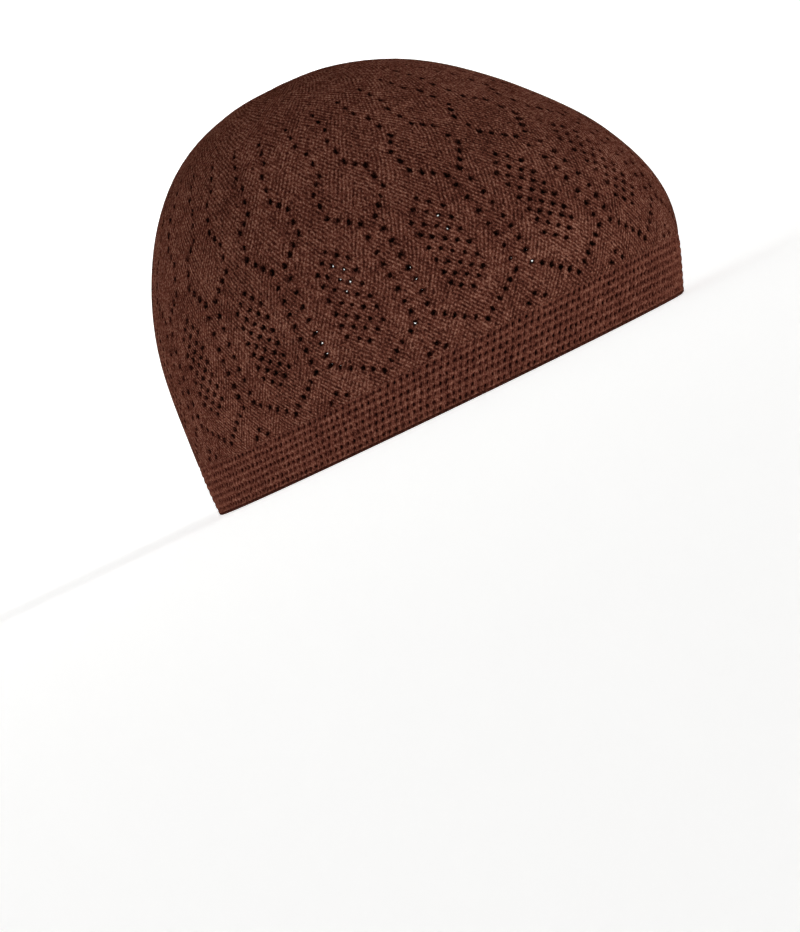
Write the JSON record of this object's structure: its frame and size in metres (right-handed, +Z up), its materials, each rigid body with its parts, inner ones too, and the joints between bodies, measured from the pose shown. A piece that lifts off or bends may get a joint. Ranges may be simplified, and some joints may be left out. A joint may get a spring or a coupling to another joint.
{
  "type": "kufi",
  "caption": "Brimless knitted kufi cap in brown yarn: a deep openwork crown of medallions and eyelet lines, a ribbed band and a rolled edge, open underneath for the head.",
  "frame": {"origin": "middle of the cap's box, on the surface that its rolled edge rests on", "axes": "+Z up, out of the top; -Y is the front, over the forehead; +Y the back; +X the wearer's left"},
  "size_m": [0.1648, 0.2154, 0.1388],
  "materials": {
    "crown_yarn": "matte fine knitted yarn, brown",
    "band_yarn": "matte coarse rows of slanted stitches, brown",
    "edge_yarn": "matte rolled edge of the same yarn"
  },
  "bodies": {
    "root": {"crown": "crown_yarn", "band": "band_yarn", "rolled_edge": "edge_yarn"}
  },
  "joints": []
}
